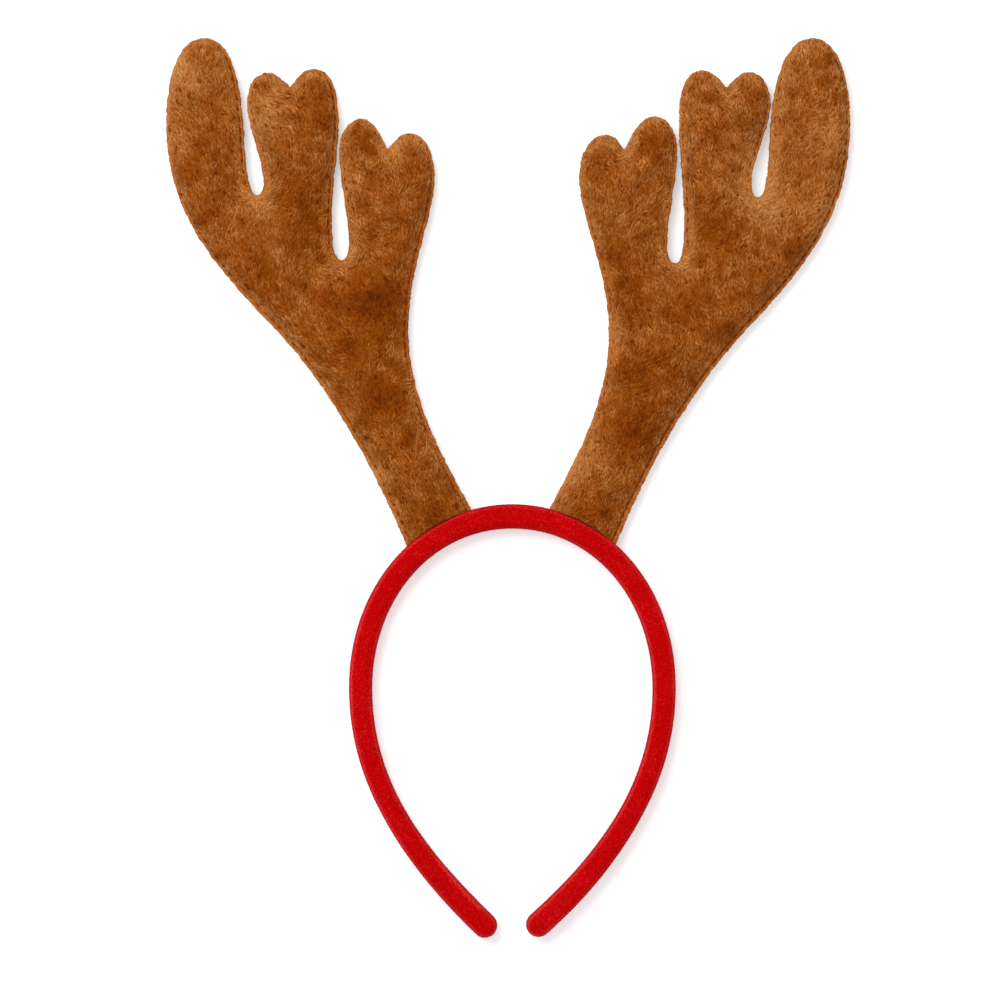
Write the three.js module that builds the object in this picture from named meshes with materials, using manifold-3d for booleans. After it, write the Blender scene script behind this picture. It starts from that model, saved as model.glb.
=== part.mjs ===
// A reindeer antler headband: a padded velvet band, egg-shaped and open at its two tips, and a pair of
// stuffed plush antlers glued on top of it. Each antler is a front and a back panel, sewn together
// along a flat rim. The headband lies on its back, as on a table: X runs across the head, Y from the
// tips of the band to the tips of the antlers, and Z up out of the table. Lengths are in millimetres.
import * as THREE from "three";
import { mergeVertices } from "three/addons/utils/BufferGeometryUtils.js";
import Module from "manifold-3d";

const wasm = await Module();
wasm.setup();

// The band
const bandWidth = 131; // outside, where it is widest
const bandLength = 173.6; // from the outside of the crown to the end of the tips
const bandThickness = 9.6; // between the inside and the outside
const bandDepth = 12; // from the back face to the front face
const bandCornerRadius = 3.2; // of the padded edges
const widestDrop = 68.8; // from the crown's centreline down to the widest place
const tipGap = 11.9; // clear space between the two tips
const tipAngle = 44; // of a tip against the line across the head, in degrees

// The antlers
const antlerSpacing = 57.8; // between the middles of the two stems, on the band
const antlerHeight = 193.8; // from the middle of the stem's foot to the top of the longest tine
const antlerReach = 108; // from the middle of the stem's foot out to the longest tine's far side
const frontPadHeight = 7.6; // of the stuffed front, above the seam between the panels
const backPadHeight = 7; // of the stuffed back, before the table presses its middle flat
const rimThickness = 3; // of the flat sewn rim, both panels together
const rimRounding = 1; // of the rim's edge
const stitchInset = 2.2; // from the edge to the line of stitches, where the stuffing starts
const swell = 6; // how slowly the stuffing rises from the stitches to its full height
const edgeZone = 4.4; // from the edge to where the stuffing's slope has become gentle
const edgeLap = 0.4; // how far the edge's flat top reaches under the middle of the stuffing
const stemSink = 5; // how far a stem's outline runs on inside the band before it is cut

// Fits
const clearance = 0.3; // between pieces that touch

// How finely the curves are cut into facets
const bandSteps = 48; // along the whole band
const cornerSteps = 3; // round one corner of its section
const capSteps = 3; // over one of its rounded tips
const edgeStep = 13; // length of a straight stretch of an antler's edge that takes one facet
const edgeTurn = 38; // turn in degrees of an antler's edge that takes one more
const padGrid = 7; // between the points of the stuffed surface

const seamLevel = bandDepth / 2;

// How far the curves of the band's centreline keep their way at each end, as shares of the half width
// and of the drop from the crown to the widest place, and from there to the tip.
const bandCurve = { crown: 0.55, shoulder: 0.42, cheek: 0.4, tip: 0.42 };

// How round the band may get, as shares: a corner of a thin section takes at most mostCorner of it,
// the tips round off over capTurn of a quarter turn, and they lose capDepth of what they thin.
const bandRounding = { mostCorner: 0.42, capTurn: 0.9, capDepth: 0.5 };

// Thickness of the band along half of its length, from the crown (0) to the tip (1), as shares.
const bandSections = [
  { along: 0.0, thickness: 1.04 },
  { along: 0.4, thickness: 1.0 },
  { along: 0.72, thickness: 0.95 },
  { along: 0.94, thickness: 1.05 },
  { along: 1.0, thickness: 1.05 },
];

// One antler's outline, from the outer foot up round the tines and down to the inner foot. across is a
// share of antlerReach and up a share of antlerHeight, both from the middle of the foot. heading is the
// way the edge runs there, in degrees from up towards the far side, and a notch turns from heading to
// leaving. in and out say how far each curve keeps that way, as shares of the chord.
const antlerOutline = [
  { at: "outer foot", across: 0.118, up: -0.046, heading: 22.5, out: 0.33 },
  { at: "outer bend", across: 0.622, up: 0.413, heading: 44, in: 0.33, out: 0.46 },
  { at: "long tine, far side", across: 1.0, up: 0.827, heading: 0, in: 0.34, out: 0.38 },
  { at: "long tine, top", across: 0.86, up: 1.0, heading: -90, in: 0.32, out: 0.27 },
  { at: "long tine, near side", across: 0.704, up: 0.784, heading: 183, in: 0.5, out: 0.64 },
  { at: "outer slot, bottom", across: 0.657, up: 0.675, heading: -90, in: 0.14, out: 0.26 },
  { at: "middle tine, far foot", across: 0.634, up: 0.701, heading: 0, in: 0.5, out: 0.27 },
  { at: "middle tine, far side", across: 0.702, up: 0.864, heading: 0, in: 0.27, out: 0.48 },
  { at: "middle tine, far lobe", across: 0.623, up: 0.929, heading: -90, in: 0.34, out: 0.3 },
  { at: "middle notch", across: 0.543, up: 0.902, heading: -140, leaving: -42, in: 0.3, out: 0.3 },
  { at: "middle tine, near lobe", across: 0.457, up: 0.935, heading: -90, in: 0.38, out: 0.31 },
  { at: "middle tine, near side", across: 0.362, up: 0.815, heading: 180, in: 0.59, out: 0.2 },
  { at: "middle tine, near foot", across: 0.384, up: 0.609, heading: 180, in: 0.45, out: 0.57 },
  { at: "inner slot, bottom", across: 0.349, up: 0.539, heading: -90, in: 0.18, out: 0.3 },
  { at: "short tine, far foot", across: 0.32, up: 0.573, heading: 0, in: 0.42, out: 0.28 },
  { at: "short tine, far side", across: 0.357, up: 0.764, heading: 0, in: 0.28, out: 0.5 },
  { at: "short tine, far lobe", across: 0.273, up: 0.836, heading: -90, in: 0.3, out: 0.3 },
  { at: "short notch", across: 0.169, up: 0.774, heading: -155, leaving: -35, in: 0.3, out: 0.3 },
  { at: "short tine, near lobe", across: 0.099, up: 0.802, heading: -90, in: 0.32, out: 0.36 },
  { at: "short tine, near side", across: 0, up: 0.709, heading: 180, in: 0.44, out: 0.24 },
  { at: "stem, waist", across: 0.105, up: 0.395, heading: 180, in: 0.4, out: 0.36 },
  { at: "inner foot", across: -0.119, up: 0.031, heading: -152, in: 0.33 },
];

// The two antlers are one pattern, turned over, and glued on a little differently by hand: how far each
// leans away from the other in degrees, and how far it is set outwards and up from its even place.
const antlers = [
  { side: "left", outward: -1, lean: 0.3, setOut: 1, setUp: 0.4 },
  { side: "right", outward: 1, lean: -0.3, setOut: -1, setUp: -0.4 },
];

const velvet = new THREE.MeshStandardMaterial({ color: 0xc20a12, roughness: 0.95, metalness: 0 });
const plush = new THREE.MeshStandardMaterial({ color: 0x9a5926, roughness: 1, metalness: 0 });

// A closed geometry as a solid that can be joined and cut, and back.
function toSolid(geometry) {
  const bare = new THREE.BufferGeometry();
  bare.setAttribute("position", geometry.getAttribute("position"));
  bare.setIndex(geometry.index);
  const merged = mergeVertices(bare, 1e-4);
  return new wasm.Manifold(
    new wasm.Mesh({
      numProp: 3,
      vertProperties: merged.attributes.position.array,
      triVerts: new Uint32Array(merged.index.array),
    }),
  );
}

function toGeometry(solid) {
  const { vertProperties, triVerts } = solid.getMesh();
  const geometry = new THREE.BufferGeometry();
  geometry.setAttribute("position", new THREE.BufferAttribute(vertProperties, 3));
  geometry.setIndex(new THREE.BufferAttribute(triVerts, 1));
  geometry.computeVertexNormals();
  return geometry;
}

// A value from a table of rows, eased between the two rows around it.
function fromTable(rows, along, key) {
  const next = rows.findIndex((row) => row.along >= along);
  if (next <= 0) return rows[0][key];
  const [a, b] = [rows[next - 1], rows[next]];
  const share = THREE.MathUtils.smoothstep(along, a.along, b.along);
  return THREE.MathUtils.lerp(a[key], b[key], share);
}

// Half of the band's centreline, from the crown at the origin down the right side to the tip.
function halfCentreline() {
  const halfWidth = (bandWidth - bandThickness) / 2;
  const tipRadius = (bandThickness * bandSections.at(-1).thickness) / 2;
  const tip = new THREE.Vector2(
    tipGap / 2 + tipRadius,
    tipRadius - (bandLength - (bandThickness * bandSections[0].thickness) / 2),
  );
  const widest = new THREE.Vector2(halfWidth, -widestDrop);
  const slope = THREE.MathUtils.degToRad(tipAngle);
  const straight = new THREE.Vector2(Math.cos(slope), Math.sin(slope));
  const lowerDrop = widest.y - tip.y;
  const line = new THREE.CurvePath();
  line.add(
    new THREE.CubicBezierCurve(
      new THREE.Vector2(0, 0),
      new THREE.Vector2(bandCurve.crown * halfWidth, 0),
      new THREE.Vector2(halfWidth, -bandCurve.shoulder * widestDrop),
      widest,
    ),
  );
  line.add(
    new THREE.CubicBezierCurve(
      widest,
      new THREE.Vector2(halfWidth, widest.y - bandCurve.cheek * lowerDrop),
      straight.multiplyScalar(bandCurve.tip * lowerDrop).add(tip),
      tip,
    ),
  );
  return line;
}

// Stations along the whole band, from the left tip to the right one: place, direction and scale.
function bandStations() {
  const half = halfCentreline();
  const stations = [];
  for (let i = -bandSteps / 2; i <= bandSteps / 2; i++) {
    const along = Math.abs(i) / (bandSteps / 2);
    const place = half.getPointAt(along);
    const way = half.getTangentAt(along);
    if (i < 0) {
      place.x = -place.x;
      way.y = -way.y;
    }
    const thickness = bandThickness * fromTable(bandSections, along, "thickness");
    stations.push({ place, way, thickness, depth: bandDepth });
  }
  const [first, last] = [stations[0], stations.at(-1)];
  for (const [end, outward] of [[first, -1], [last, 1]]) {
    for (let i = 1; i <= capSteps; i++) {
      const turn = (Math.PI / 2) * bandRounding.capTurn * (i / capSteps);
      const thinned = end.thickness * (1 - Math.cos(turn));
      const ahead = (outward * end.thickness * Math.sin(turn)) / 2;
      const station = {
        place: end.way.clone().multiplyScalar(ahead).add(end.place),
        way: end.way,
        thickness: end.thickness - thinned,
        depth: end.depth - bandRounding.capDepth * thinned,
      };
      if (outward < 0) stations.unshift(station);
      else stations.push(station);
    }
  }
  return stations;
}

// The band's section, a rounded rectangle, as pairs of [outward, up] about its middle.
function roundedSection(thickness, depth) {
  const radius = Math.min(bandCornerRadius, bandRounding.mostCorner * Math.min(thickness, depth));
  const points = [];
  for (let corner = 0; corner < 4; corner++) {
    const [sideways, upright] = [[1, 1], [-1, 1], [-1, -1], [1, -1]][corner];
    for (let i = 0; i <= cornerSteps; i++) {
      const turn = (Math.PI / 2) * (corner + i / cornerSteps);
      points.push([
        sideways * (thickness / 2 - radius) + radius * Math.cos(turn),
        upright * (depth / 2 - radius) + radius * Math.sin(turn),
      ]);
    }
  }
  return points;
}

// A closed skin through rings that all have as many points, closed at both ends by the given flats.
function skin(rings, flats) {
  const size = rings[0].length;
  const corners = rings.flat().flatMap((p) => [p.x, p.y, p.z]);
  const triangles = [];
  for (let r = 0; r + 1 < rings.length; r++) {
    for (let i = 0; i < size; i++) {
      const [a, b] = [r * size + i, r * size + ((i + 1) % size)];
      triangles.push(a, b, b + size, a, b + size, a + size);
    }
  }
  const last = (rings.length - 1) * size;
  for (const [a, b, c] of flats) {
    triangles.push(a, c, b, a + last, b + last, c + last);
  }
  const geometry = new THREE.BufferGeometry();
  geometry.setAttribute("position", new THREE.Float32BufferAttribute(corners, 3));
  geometry.setIndex(triangles);
  return toSolid(geometry);
}

function bandSolid() {
  const rings = bandStations().map(({ place, way, thickness, depth }) =>
    roundedSection(thickness, depth).map(
      ([outward, up]) =>
        new THREE.Vector3(place.x - way.y * outward, place.y + way.x * outward, seamLevel + up),
    ),
  );
  const fan = rings[0].slice(2).map((_, i) => [0, i + 1, i + 2]);
  return skin(rings, fan);
}

// The band's outer edge from the left tip to the right one, or a line at a distance beyond it.
function bandEdge(beyond) {
  return bandStations().map(({ place, way, thickness }) => {
    const outward = thickness / 2 + beyond;
    return new THREE.Vector2(place.x - way.y * outward, place.y + way.x * outward);
  });
}

// The space that the stems' feet keep clear of: everything inside the band's outer edge.
function seatSolid() {
  const edge = bandEdge(clearance).reverse();
  const reach = bandDepth + frontPadHeight;
  const bottom = edge.map((p) => new THREE.Vector3(p.x, p.y, seamLevel - reach));
  const top = edge.map((p) => new THREE.Vector3(p.x, p.y, seamLevel + reach));
  return skin([bottom, top], THREE.ShapeUtils.triangulateShape(edge, []));
}

// Where a stem's middle stands on the band's outer edge, to the right of the crown.
function footPlace() {
  const edge = bandEdge(0);
  const x = antlerSpacing / 2;
  const next = edge.findIndex((p) => p.x >= x);
  const [a, b] = [edge[next - 1], edge[next]];
  return new THREE.Vector2(x, THREE.MathUtils.mapLinear(x, a.x, b.x, a.y, b.y));
}

// The way an edge runs, from its heading in degrees.
function direction(heading) {
  const turn = THREE.MathUtils.degToRad(heading);
  return new THREE.Vector2(Math.sin(turn), Math.cos(turn));
}

// One antler's outline as points, placed on the band, running anticlockwise.
function antlerPoints({ outward, lean, setOut, setUp }) {
  const foot = footPlace();
  const knots = antlerOutline.map((row) => ({
    ...row,
    place: new THREE.Vector2(row.across * antlerReach, row.up * antlerHeight),
  }));
  const points = [];
  for (let i = 0; i + 1 < knots.length; i++) {
    const [from, to] = [knots[i], knots[i + 1]];
    const leaving = from.leaving ?? from.heading;
    const chord = from.place.distanceTo(to.place);
    const curve = new THREE.CubicBezierCurve(
      from.place,
      direction(leaving).multiplyScalar(from.out * chord).add(from.place),
      direction(to.heading).multiplyScalar(-to.in * chord).add(to.place),
      to.place,
    );
    const turn = Math.abs(((to.heading - leaving + 540) % 360) - 180);
    const steps = Math.ceil(chord / edgeStep + turn / edgeTurn);
    points.push(...curve.getPoints(steps).slice(i ? 1 : 0));
  }
  const [first, last] = [knots[0], knots.at(-1)];
  points.unshift(direction(first.heading).multiplyScalar(-stemSink).add(first.place));
  points.push(direction(last.heading).multiplyScalar(stemSink).add(last.place));
  const turn = THREE.MathUtils.degToRad(-lean);
  const placed = points.map((p) => {
    const turned = p.clone().rotateAround(new THREE.Vector2(), turn);
    return new THREE.Vector2(outward * (foot.x + setOut + turned.x), foot.y + setUp + turned.y);
  });
  return outward > 0 ? placed : placed.reverse();
}

// The outline moved in by a distance, along the mean direction of each corner's two edges. A sharp
// corner moves by no more than the distance over mostMiter.
function inset(points, distance) {
  const mostMiter = 0.6;
  return points.map((p, i) => {
    const before = points[(i + points.length - 1) % points.length];
    const after = points[(i + 1) % points.length];
    const a = p.clone().sub(before).normalize();
    const b = after.clone().sub(p).normalize();
    const inward = new THREE.Vector2(-(a.y + b.y), a.x + b.x).normalize();
    const stretch = Math.max(mostMiter, inward.dot(new THREE.Vector2(-a.y, a.x)));
    return inward.multiplyScalar(distance / stretch).add(p);
  });
}

function distanceToEdge(x, y, points) {
  let least = Infinity;
  for (let i = 0; i < points.length; i++) {
    const [a, b] = [points[i], points[(i + 1) % points.length]];
    const [dx, dy] = [b.x - a.x, b.y - a.y];
    const along = ((x - a.x) * dx + (y - a.y) * dy) / (dx * dx + dy * dy);
    const share = THREE.MathUtils.clamp(along, 0, 1);
    least = Math.min(least, Math.hypot(x - a.x - share * dx, y - a.y - share * dy));
  }
  return least;
}

function isInside(x, y, points) {
  let inside = false;
  for (let i = 0; i < points.length; i++) {
    const [a, b] = [points[i], points[(i + 1) % points.length]];
    const crosses = a.y > y !== b.y > y;
    if (crosses && x < a.x + ((b.x - a.x) * (y - a.y)) / (b.y - a.y)) inside = !inside;
  }
  return inside;
}

// Height of a stuffed panel's face above the seam, at a distance from the panel's edge.
function padRise(away, { padHeight, room }) {
  const rim = rimThickness / 2;
  const rise = (padHeight - rim) * Math.tanh(Math.max(away - stitchInset, 0) / swell);
  return Math.min(rim + rise, room);
}

// A solid through rings, each the outline moved inward by a distance and lifted to its height.
function insetSolid(outline, levels) {
  const rings = levels.map(({ inward, z }) =>
    inset(outline, inward).map((p) => new THREE.Vector3(p.x, p.y, z)),
  );
  return skin(rings, THREE.ShapeUtils.triangulateShape(outline, []));
}

// The panel's rim and the steep edge of its stuffing, closed by a flat top where the edge zone ends.
function edgeSolid(outline, pad) {
  const rim = rimThickness / 2;
  const middle = (stitchInset + edgeZone) / 2;
  const levels = [
    { inward: 0, z: 0 },
    { inward: 0, z: rim - rimRounding },
    { inward: rimRounding, z: rim },
    { inward: stitchInset, z: rim },
    { inward: middle, z: padRise(middle, pad) },
    { inward: edgeZone, z: padRise(edgeZone, pad) },
  ];
  return insetSolid(outline, levels);
}

// The middle of the stuffing, as a block under a grid of heights, cut to where the edge zone ends. Its
// underside lies within the rim.
function middleSolid(outline, pad) {
  const box = new THREE.Box2().setFromPoints(outline);
  const size = box.getSize(new THREE.Vector2());
  const columns = Math.ceil(size.x / padGrid) + 1;
  const rows = Math.ceil(size.y / padGrid) + 1;
  const [corners, triangles] = [[], []];
  for (const rising of [true, false]) {
    for (let i = 0; i < rows * columns; i++) {
      const x = box.min.x + (i % columns) * padGrid;
      const y = box.min.y + Math.floor(i / columns) * padGrid;
      const away = isInside(x, y, outline) ? distanceToEdge(x, y, outline) : 0;
      corners.push(x, y, rising ? padRise(away, pad) : rimThickness / 4);
    }
  }
  const under = rows * columns;
  const quad = (a, b, c, d) => triangles.push(a, b, c, a, c, d);
  for (let r = 0; r + 1 < rows; r++) {
    for (let c = 0; c + 1 < columns; c++) {
      const a = r * columns + c;
      const [b, d, e] = [a + 1, a + columns, a + columns + 1];
      quad(a, b, e, d);
      quad(a + under, d + under, e + under, b + under);
    }
  }
  for (let c = 0; c + 1 < columns; c++) {
    const far = (rows - 1) * columns + c;
    quad(c, c + under, c + 1 + under, c + 1);
    quad(far + 1, far + 1 + under, far + under, far);
  }
  for (let r = 0; r + 1 < rows; r++) {
    const [a, b] = [r * columns, (r + 1) * columns];
    const [c, d] = [a + columns - 1, b + columns - 1];
    quad(b, b + under, a + under, a);
    quad(c, c + under, d + under, d);
  }
  const geometry = new THREE.BufferGeometry();
  geometry.setAttribute("position", new THREE.Float32BufferAttribute(corners, 3));
  geometry.setIndex(triangles);
  const inward = edgeZone + edgeLap;
  const cutter = insetSolid(outline, [{ inward, z: 0 }, { inward, z: 2 * pad.padHeight }]);
  return toSolid(geometry).intersect(cutter);
}

// One sewn panel with its half of the stuffing, lying on the seam and rising along Z.
function panelSolid(outline, pad) {
  return edgeSolid(outline, pad).add(middleSolid(outline, pad));
}

function addPiece(parent, name, solid, material) {
  const mesh = new THREE.Mesh(toGeometry(solid), material);
  mesh.name = name;
  parent.add(mesh);
  return mesh;
}

function buildAntler(parent, seat, antler) {
  const outline = antlerPoints(antler);
  const half = clearance / 2;
  const front = panelSolid(outline, { padHeight: frontPadHeight, room: frontPadHeight });
  const back = panelSolid(outline, { padHeight: backPadHeight, room: seamLevel - half });
  const frontPlaced = front.translate([0, 0, seamLevel + half]);
  const backPlaced = back.scale([1, 1, -1]).translate([0, 0, seamLevel - half]);
  addPiece(parent, `${antler.side}_antler_front`, frontPlaced.subtract(seat), plush);
  addPiece(parent, `${antler.side}_antler_back`, backPlaced.subtract(seat), plush);
}

function buildHeadband() {
  const headband = new THREE.Group();
  addPiece(headband, "band", bandSolid(), velvet);
  const seat = seatSolid();
  for (const antler of antlers) buildAntler(headband, seat, antler);
  const box = new THREE.Box3().setFromObject(headband);
  const middle = box.getCenter(new THREE.Vector3());
  headband.position.set(-middle.x, -middle.y, 0);
  return headband;
}

const headband = buildHeadband();

export default headband;
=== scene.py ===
# %% [markdown]
# # A reindeer antler headband, dressed for its picture
# The real thing is a springy hoop, padded and covered in red velvet, with two stuffed antlers of
# brown short-pile plush glued on its crown. It lies on its back on a pale table and is seen from
# straight above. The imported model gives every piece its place. This script gives the pieces their
# cloth, stuffing, stitches and pile.

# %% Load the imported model
import math

import bpy
import numpy as np
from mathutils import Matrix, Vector, geometry
from mathutils.bvhtree import BVHTree


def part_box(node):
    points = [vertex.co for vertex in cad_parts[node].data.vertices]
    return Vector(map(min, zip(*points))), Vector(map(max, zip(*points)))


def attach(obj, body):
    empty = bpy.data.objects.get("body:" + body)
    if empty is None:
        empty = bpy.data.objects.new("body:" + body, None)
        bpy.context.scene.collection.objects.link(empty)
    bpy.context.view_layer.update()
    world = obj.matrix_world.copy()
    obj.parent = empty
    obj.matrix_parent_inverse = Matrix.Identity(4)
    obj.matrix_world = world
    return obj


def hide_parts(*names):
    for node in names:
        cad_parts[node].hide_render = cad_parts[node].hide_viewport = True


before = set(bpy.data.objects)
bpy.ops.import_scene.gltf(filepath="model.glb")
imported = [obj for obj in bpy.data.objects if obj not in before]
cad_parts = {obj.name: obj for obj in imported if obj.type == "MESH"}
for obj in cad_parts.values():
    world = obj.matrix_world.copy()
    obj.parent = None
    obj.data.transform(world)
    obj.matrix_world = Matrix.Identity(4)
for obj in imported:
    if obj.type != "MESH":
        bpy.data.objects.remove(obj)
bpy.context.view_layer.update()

# %% [markdown]
# All the lengths below are in millimetres, because a sewing pattern is. One helper turns a list of
# points and faces into a Blender mesh in metres. Filling the mesh's arrays in one go keeps that fast
# even for the pile, which has hundreds of thousands of corners.

# %% A helper that makes a piece from points and faces
MM = 0.001


def make_piece(name, points, faces):
    """A smooth piece in the scene. faces is an array, or a list where the faces differ in size."""
    mesh = bpy.data.meshes.new(name)
    points = np.asarray(points, dtype=np.float32)
    if isinstance(faces, list):
        sizes = [len(face) for face in faces]
        flat = np.concatenate([np.asarray(face) for face in faces])
    else:
        sizes = np.full(len(faces), faces.shape[1])
        flat = faces.ravel()
    mesh.vertices.add(len(points))
    mesh.vertices.foreach_set("co", (points * MM).ravel())
    mesh.loops.add(len(flat))
    mesh.loops.foreach_set("vertex_index", flat.astype(np.int32))
    mesh.polygons.add(len(sizes))
    starts = np.concatenate([[0], np.cumsum(sizes)[:-1]])
    mesh.polygons.foreach_set("loop_start", starts.astype(np.int32))
    mesh.polygons.foreach_set("use_smooth", np.full(len(sizes), True))
    mesh.update(calc_edges=True)
    mesh.validate()
    piece = bpy.data.objects.new(name, mesh)
    bpy.context.scene.collection.objects.link(piece)
    return piece


def corners_of(mesh):
    """The places of a mesh's corners, back in millimetres."""
    places = np.empty(len(mesh.vertices) * 3, np.float32)
    mesh.vertices.foreach_get("co", places)
    return places.reshape(-1, 3) / MM


# %% A helper that keeps a tone on every corner
def keep_tone(piece, tone, along=1.0):
    """Keeps each corner's tone (red), and how far out along its fibre it is (green), for the material."""
    layer = piece.data.color_attributes.new("fibre", "FLOAT_COLOR", "POINT")
    values = np.ones((len(tone), 4), np.float32)
    values[:, 0] = np.clip(tone, 0, 1)
    values[:, 1] = along
    layer.data.foreach_set("color", values.ravel())


# %% Helpers for ways, distances and rings
def unit(vectors):
    return vectors / np.maximum(np.linalg.norm(vectors, axis=1), 1e-9)[:, None]


def left_of(ways):
    """Ways in the plane, each turned a quarter to the left."""
    return np.column_stack([-ways[:, 1], ways[:, 0]])


def walked(line):
    """How far along a line each of its points lies."""
    return np.concatenate([[0], np.cumsum(np.linalg.norm(np.diff(line, axis=0), axis=1))])


def fade(distance, width):
    """1 where the distance is nothing, dying away smoothly to 0 at about twice the width."""
    return np.exp(-((distance / width) ** 2))


def join_rings(rings):
    """Four-cornered faces between each ring of point numbers and the next."""
    following = np.roll(rings, -1, axis=1)
    return np.stack([rings[:-1], following[:-1], following[1:], rings[1:]], axis=-1).reshape(-1, 4)


# %% A helper for soft, seeded unevenness
def soft_noise(points, size, seed):
    """A smooth random value near -1 to 1 for each point, whose lumps are about size across."""
    dice = np.random.default_rng(seed)
    total = np.zeros(len(points))
    waves = 14
    for _ in range(waves):
        way = dice.normal(size=points.shape[1])
        way *= dice.uniform(0.6, 1.5) * np.pi / (size * np.linalg.norm(way))
        total += np.sin(points @ way + dice.uniform(0, 2 * np.pi))
    return total / math.sqrt(waves / 2) * 0.6


# %% [markdown]
# ## The hoop's line
# The band is a springy hoop that follows one smooth line: flat over the crown, widest beside the
# ears, and straight towards the two tips. Two cubic curves for each half give that line, as in the
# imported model, and walking along them in even steps gives the stations that the cover, the seat of
# the antlers and the pile are all built from.

# %% The band's centreline
band_width, band_length = 131.0, 173.6
band_thickness, band_depth = 9.6, 12.0
crown_thickness, leg_thickness, tip_thickness = 1.04, 0.95, 1.05  # as shares of the band's thickness
widest_drop, tip_gap, tip_angle = 68.8, 11.9, math.radians(44)
curve_steps, half_stations = 400, 141
bent_stations, bent_by = 22, [-0.6, 0.35]  # the right tip was bent in a little further
seam_level = band_depth / 2


def cubic(a, b, c, d, steps):
    t = np.linspace(0, 1, steps + 1)[:, None]
    return (1 - t) ** 3 * a + 3 * (1 - t) ** 2 * t * b + 3 * (1 - t) * t**2 * c + t**3 * d


def evenly(line, count=None, step=None):
    """The same line with its points spread evenly along it."""
    lengths = walked(line)
    count = count or max(2, int(round(lengths[-1] / step)) + 1)
    at = np.linspace(0, lengths[-1], count)
    return np.column_stack([np.interp(at, lengths, line[:, k]) for k in range(line.shape[1])])


half_width = (band_width - band_thickness) / 2
crown_radius = band_thickness * crown_thickness / 2
tip_radius = band_thickness * tip_thickness / 2
tip = np.array([tip_gap / 2 + tip_radius, tip_radius - (band_length - crown_radius)])
widest = np.array([half_width, -widest_drop])
lower_drop = widest[1] - tip[1]
tip_way = np.array([math.cos(tip_angle), math.sin(tip_angle)])
upper = cubic(
    np.zeros(2),
    np.array([0.55 * half_width, 0]),
    np.array([half_width, -0.42 * widest_drop]),
    widest,
    curve_steps,
)
lower = cubic(
    widest,
    np.array([half_width, widest[1] - 0.4 * lower_drop]),
    tip + 0.42 * lower_drop * tip_way,
    tip,
    curve_steps,
)
half_line = evenly(np.vstack([upper, lower[1:]]), count=half_stations)
low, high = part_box("band")
crown = np.array([(low.x + high.x) / 2, high.y]) / MM - [0, crown_radius]
hoop = np.vstack([(half_line * [-1, 1])[:0:-1], half_line]) + crown
hoop[-bent_stations:] += np.linspace(0, 1, bent_stations)[:, None] ** 2 * bent_by
hoop_way = unit(np.gradient(hoop, axis=0))
hoop_out = left_of(hoop_way)
hoop_along = np.abs(np.linspace(-1, 1, len(hoop)))
shares = [crown_thickness, 1.0, leg_thickness, tip_thickness, tip_thickness]
hoop_thickness = band_thickness * np.interp(hoop_along, [0, 0.4, 0.72, 0.94, 1], shares)
print("the crown is at", crown.round(2), "and the hoop has", len(hoop), "stations")

# %% [markdown]
# ## The velvet cover
# A thin pad is wrapped round the hoop and the velvet is stretched over it, so the section is a
# rectangle with soft corners and slightly crowned faces, and the ends are closed domes. A curve
# object with a bevel could make this, but its section can't thin out over the tips, so the skin is
# built ring by ring. A little unevenness stops it from looking moulded.

# %% The section of the cover
corner_radius = 3.5
nap_room = 0.22  # the nap stands this far out of the cloth, up to the solid's face


def cover_section(thickness, depth, around=40):
    """Points of the padded section as (outward, up), from a rectangle with round corners."""
    radius = min(corner_radius, 0.42 * min(thickness, depth))
    points = []
    for corner, (side, rise) in enumerate([(1, 1), (-1, 1), (-1, -1), (1, -1)]):
        for turn in np.linspace(0, math.pi / 2, around // 4):
            angle = turn + corner * math.pi / 2
            outward = side * (thickness / 2 - radius) + radius * math.cos(angle)
            points.append((outward, rise * (depth / 2 - radius) + radius * math.sin(angle)))
    return evenly(np.array([*points, points[0]]), count=around + 1)[:-1]


# %% Build the cover ring by ring
def cover_ring(i, ahead, turn):
    """One ring at a station of the hoop. Past its ends, turn runs from 0 to a right angle over the dome."""
    thick = hoop_thickness[i] * max(math.cos(turn), 0.02)
    deep = band_depth - 0.65 * (hoop_thickness[i] - thick)
    if turn > 1.5:
        deep *= 0.85
    full = hoop_thickness[i] - 2 * nap_room
    section = cover_section(full, deep - 2 * nap_room) * [thick / hoop_thickness[i], 1]
    middle = hoop[i] + hoop_way[i] * ahead * full / 2 * math.sin(turn)
    return np.column_stack([middle + section[:, :1] * hoop_out[i], seam_level + section[:, 1]])


dome = np.linspace(0, math.pi / 2, 9)[1:]
order = [(0, -1, turn) for turn in dome[::-1]]
order += [(i, 0, 0.0) for i in range(len(hoop))]
order += [(len(hoop) - 1, 1, turn) for turn in dome]
rings = np.array([cover_ring(*stop) for stop in order])
cover_points = rings.reshape(-1, 3)
ring_numbers = np.arange(len(cover_points)).reshape(rings.shape[:2])
cover_quads = join_rings(ring_numbers)
cover_faces = [*cover_quads.tolist(), ring_numbers[0][::-1].tolist(), ring_numbers[-1].tolist()]
above_table = ((cover_points[:, 2] - 0.5) / 11).clip(0, 1)
cover_points[:, 2] += 0.10 * soft_noise(cover_points, 9, 3) * above_table
cover_points[:, 2] = cover_points[:, 2].clip(0, None)
cover = make_piece("velvet_cover", cover_points, cover_faces)
heights = cover_points[:, 2]
print("velvet cover:", len(cover_faces), "faces, z", heights.min().round(2), heights.max().round(2))

# %% [markdown]
# ## The antler's pattern
# Both antlers are cut from one pattern, turned over for the other side: a long outer tine, a middle
# and a short tine that end in heart-shaped pairs of lobes, and a stem that widens into the palm.
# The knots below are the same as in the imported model. Here the curves between them are sampled
# finely, because the edge has stitches every few millimetres.

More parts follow.
